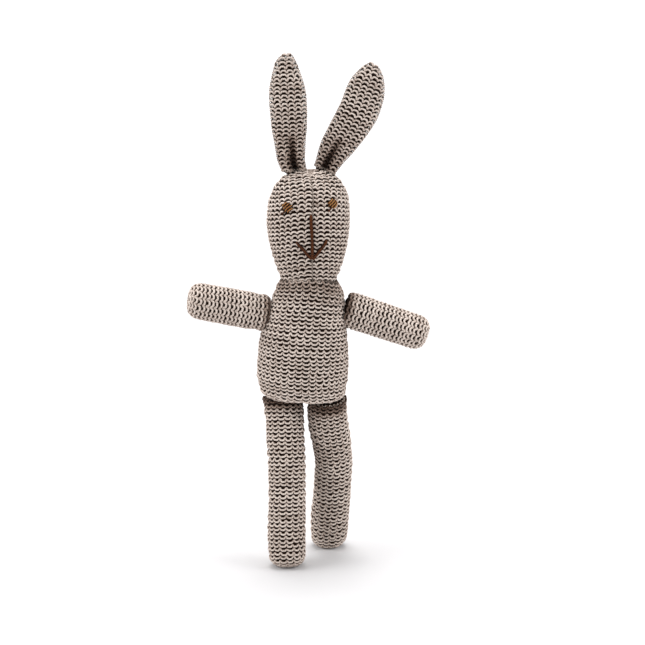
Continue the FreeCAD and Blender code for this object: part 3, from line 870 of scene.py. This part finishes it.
# each limb leans away from straight out or straight down by these degrees
limbAxes = {
    "left_arm": turnedAbout(turnedAbout(xAxis, yAxis, 19.5), zAxis, 3.0),
    "right_arm": turnedAbout(turnedAbout(-xAxis, yAxis, 9.0), zAxis, 9.0),
    "left_leg": turnedAbout(turnedAbout(-zAxis, xAxis, 12.4), yAxis, -1.0),
    "right_leg": turnedAbout(turnedAbout(-zAxis, xAxis, -12.4), yAxis, -1.0),
}
armRoot = 8.6  # an arm's cover starts this far inside its hinge
blendReach = {"shoulder": (7, 9), "hip": (8, 16), "ear": (5, 12)}  # before and after the hinge
rootRing = 0.055  # the share of a limb's or ear's outline where its ring of stitches lies
limbPlaces = {}
for side in ("left", "right"):
    shoulder = 1000 * np.array(joints[f"{side}_arm_raise"]["pos_m"])
    outward = np.array(joints[f"{side}_shoulder_turn"]["axis"])
    limbPlaces[f"{side}_arm"] = shoulder - armRoot * outward
    limbPlaces[f"{side}_leg"] = 1000 * np.array(joints[f"{side}_leg_swing"]["pos_m"])

soleHeight = 0.25
for name, limb in limbs.items():
    angles = np.radians(np.linspace(8, 90, 8))
    start = limb["end"] - limb["endDepth"]
    power = 2 / limb["blunt"]
    radius = limb["profile"][-1][0]
    cap = [
        (radius * np.cos(a) ** power + 0.02, start + limb["endDepth"] * np.sin(a) ** power) for a in angles
    ]
    axis = limbAxes[name]
    grid = roundedGrid(limbPlaces[name], axis, backwards, limb["profile"] + cap, None,
                       bowed(limb["bow"], np.array(limb["bowTo"], float)))
    grid = stuffed(name, grid, (0.1, 0.97), limb["pressure"])
    grid[..., 2] = np.where(grid[..., 2] < soleHeight, soleHeight, grid[..., 2])  # the soles press flat
    side, kind = name.split("_")
    if kind == "arm":
        shoulder = 1000 * np.array(joints[f"{side}_arm_raise"]["pos_m"])
        before, after = blendReach["shoulder"]
        blend = (f"{side}_shoulder", name, shoulder - before * axis, shoulder + after * axis)
    else:
        hip = limbPlaces[name]
        before, after = blendReach["hip"]
        blend = ("torso", name, hip - before * axis, hip + after * axis)
    # painted shade at the limb's root
    rootShadeRamp = shadeRamp(*limb["rootShade"])

    def rootShade(u, v):
        # the root lies in shadow, and most in front
        return 1 - (1 - rootShadeRamp(u, v)) * (0.35 + 0.65 * np.sin(math.pi * u) ** 2)

    paths = courses(grid, (0.003, 0.997), 0.5, (0.05, 0.995), limb["cusp"], None, 0.0, limb["height"],
                    knit["narrowWale"], rootShade)
    blocks = coverBlocks(grid, paths, (0.0, 1.0), (0.0, 1.0), limb["yarnRadius"])
    piece = buildMesh(name + "_knit", blocks, coverLook)
    finishPiece(piece, [f"{name}_cover"], None, blend)
    piece = buildMesh(name + "_filling_wad", pad(grid, knit["fillingInset"], (0.02, 1.0)), [fibre])
    finishPiece(piece, [f"{name}_filling"], None, blend)
    line, normal = skinLine(grid, np.zeros(60), np.linspace(0.06, 0.97, 60))
    backSeam = tubes(seamThread(line, normal, inset=0.5), thread["seam"], 6)
    piece = buildMesh(name + "_seam_thread", backSeam, [seamCotton])
    finishPiece(piece, [f"{name}_seam"], None, blend)
    # the ring of thread that sews the limb to the torso
    rim, rimNormal = skinLine(grid, us, np.full(121, rootRing))
    ring = tubes(seamThread(rim, rimNormal, period=2.8, sway=0.6, inset=1.7), thread["ring"], 6)
    if kind == "arm":
        piece = buildMesh(f"{side}_shoulder_seam_thread", ring, [seamCotton])
        finishPiece(piece, [f"{side}_shoulder_seam"], f"{side}_shoulder")
    else:
        piece = buildMesh(f"{side}_hip_seam_thread", ring, [seamCotton])
        finishPiece(piece, [f"{side}_hip_seam"], "torso")
    print(f"{name} knitted")


# ears: flat leaves of two panels, creased where they are sewn to the crown
ears = {
    "right": {
        "lean": -2.9,
        "profile": [(5.5, -8.5), (7.1, -7.2), (7.7, -5.4), (8.5, 0.5), (9.1, 6.2), (9.7, 12), (10.5, 17.6),
                    (10.9, 23.3), (11.2, 28.9), (11.2, 34.6), (10.9, 40.2), (9.8, 45.5), (8.2, 51.2),
                    (6.4, 56.3), (4.6, 59.3), (2.4, 61.2), (0.3, 61.8)],
        "bow": [(-6, 0.3), (0.5, -1.3), (12, -1.4), (28, -1.2), (57, -1.4), (61, -0.4)],
        "grooveAt": 1.0,
    },
    "left": {
        "lean": 25.3,
        "profile": [(5.5, -8.5), (6.6, -6.8), (7.1, -4.5), (8.3, 1.5), (9.8, 8), (10.7, 14.6), (11.4, 22),
                    (11.8, 28), (12.0, 34), (12.0, 40), (11.6, 46), (10.4, 50.5), (8.7, 54.5), (6.4, 58.2),
                    (3.6, 61.0), (0.3, 62.3)],
        "bow": [(-5.6, 3.1), (2.7, 3.2), (10.6, 4.0), (18.6, 5.1), (26.4, 6.0), (34, 6.5), (41, 5.8),
                (48, 5.0), (55, 4.3), (60, 3.4), (62, 2.4)],
        "grooveAt": -0.6,
    },
    "thickness": 0.44, "grooveDepth": 5.0, "grooveWidth": 1.9, "grooveLength": 22.0, "fill": 0.5,
    "pressure": 2.5, "courseHeight": 2.42, "fillingInset": 2.3, "creaseShade": 0.85,
}
for side in ("right", "left"):
    ear = ears[side]
    place = 1000 * np.array(joints[f"{side}_ear_fold"]["pos_m"])
    across = unit(np.array(joints[f"{side}_ear_fold"]["axis"]))
    axis = np.array([math.sin(math.radians(ear["lean"])), 0, math.cos(math.radians(ear["lean"]))])
    back = unit(np.cross(axis, across))

    def earDepth(height):
        # thicker below the fold
        return ears["thickness"] + 0.16 * np.clip(-height / 8, 0, 1)

    bow = bowed(ear["bow"], across)
    grid = roundedGrid(place, axis, back, ear["profile"], earDepth, bow)
    grid = stuffed(side + "_ear", grid, (0.1, 0.92), ears["pressure"], (0.25, 0.75))
    local = grid - place
    tall, rear = local @ axis, local @ back
    sideways = local @ across - bow(tall.ravel()).reshape(*tall.shape, 3) @ across
    fade = np.clip(1 - (tall + 6) / ears["grooveLength"], 0, 1) ** 0.7
    groove = ears["grooveDepth"] * np.exp(-((sideways - ear["grooveAt"]) / ears["grooveWidth"]) ** 2) * fade
    grid = grid + (groove * np.clip(-rear / 1.5, 0, 1))[..., None] * back
    before, after = blendReach["ear"]
    blend = ("head", f"{side}_ear", place - before * axis, place + after * axis)
    # painted shade at the ear's root
    earRootShade = shadeRamp(0.04, 0.6, 0.88)

    def earShade(u, v):
        # the crease at the base of the front lies in shadow
        spot = onSurface(grid, u, v) - place
        up = spot @ axis
        off = spot @ across - np.interp(up, *zip(*ear["bow"])) - ear["grooveAt"]
        deep = np.exp(-(off / ears["grooveWidth"]) ** 2)
        deep = deep * np.clip(1 - (up + 6) / ears["grooveLength"], 0, 1) ** 0.7
        return earRootShade(u, v) * (1 - ears["creaseShade"] * deep * (spot @ back < 0.5 * ears["grooveDepth"]))

    for panel, uRange, uMid in (("front_panel", (0.25, 0.75), 0.5), ("back_panel", (0.75, 1.25), 1.0)):
        shade = earShade if panel == "front_panel" else earRootShade
        paths = courses(grid, uRange, uMid, (0.045, 0.985), -1.0, None, 0.0, ears["courseHeight"],
                        knit["narrowWale"], shade)
        blocks = coverBlocks(grid, paths, uRange, (0.0, 1.0))
        piece = buildMesh(f"{side}_ear_{panel}_knit", blocks, coverLook)
        finishPiece(piece, [f"{side}_ear_{panel}"], None, blend)
    piece = buildMesh(f"{side}_ear_filling_wad", pad(grid, ears["fillingInset"], (0.38, 1.0)), [fibre])
    finishPiece(piece, [f"{side}_ear_filling"], None, blend)
    up, upNormal = skinLine(grid, np.full(60, 0.25), np.linspace(0.06, 0.965, 60))
    down, downNormal = skinLine(grid, np.full(60, 0.75), np.linspace(0.965, 0.06, 60))
    edge = seamThread(np.concatenate([up, down[1:]]), np.concatenate([upNormal, downNormal[1:]]), inset=0.5)
    piece = buildMesh(f"{side}_ear_edge_seam_thread", tubes(edge, thread["earEdge"], 6), [seamCotton])
    finishPiece(piece, [f"{side}_ear_edge_seam"], None, blend)
    rim, rimNormal = skinLine(grid, us, np.full(121, rootRing))
    stitches = tubes(seamThread(rim, rimNormal, period=2.6, sway=0.7, inset=0.3), thread["earBase"], 6)
    piece = buildMesh(f"{side}_ear_base_stitch_thread", stitches, [seamCotton])
    finishPiece(piece, [f"{side}_ear_base_stitches"], "head")
    print(f"{side} ear knitted")


# floor, light and camera
studio = {
    "lookAt": (9.7, 0.0, 142.0), "distance": 1041.0, "elevation": 12.0, "lens": 100.0,
    "worldStrength": 0.78,
}
bpy.ops.mesh.primitive_plane_add(size=60.0, location=(0, 0, 0))
floor = bpy.context.object
floor.name = "floor"
floorPaper = bpy.data.materials.new("whitePaperSweep")
floorPaper.use_nodes = True
floorPaper.node_tree.nodes["Principled BSDF"].inputs["Base Color"].default_value = srgb("#CCCBCC")
floorPaper.node_tree.nodes["Principled BSDF"].inputs["Roughness"].default_value = 0.9
floor.data.materials.append(floorPaper)

world = bpy.data.worlds.new("whiteStudio")
bpy.context.scene.world = world
world.use_nodes = True
world.node_tree.nodes["Background"].inputs["Color"].default_value = (1, 1, 1, 1)
world.node_tree.nodes["Background"].inputs["Strength"].default_value = studio["worldStrength"]


def softSun(name, azimuth, elevation, strength, spread):
    light = bpy.data.lights.new(name, "SUN")
    light.energy = strength
    light.angle = math.radians(spread)
    lamp = bpy.data.objects.new(name, light)
    bpy.context.scene.collection.objects.link(lamp)
    lamp.rotation_euler = (math.radians(90 - elevation), 0, math.radians(azimuth))


softSun("topLight", 180, 74, 2.4, 40)
softSun("leftLight", -80, 30, 1.6, 40)
softSun("rightLight", 80, 30, 1.25, 40)

camera = bpy.data.objects.new("camera", bpy.data.cameras.new("camera"))
bpy.context.scene.collection.objects.link(camera)
elevation = math.radians(studio["elevation"])
camera.location = [0.001 * v for v in (
    studio["lookAt"][0],
    -studio["distance"] * math.cos(elevation),
    studio["lookAt"][2] + studio["distance"] * math.sin(elevation),
)]
camera.rotation_euler = (math.pi / 2 - elevation, 0, 0)
camera.data.lens = studio["lens"]
camera.data.sensor_width = 36.0
camera.data.clip_end = 80.0
bpy.context.scene.camera = camera
bpy.context.scene.view_settings.view_transform = "Standard"
print("floor, lights and camera placed")
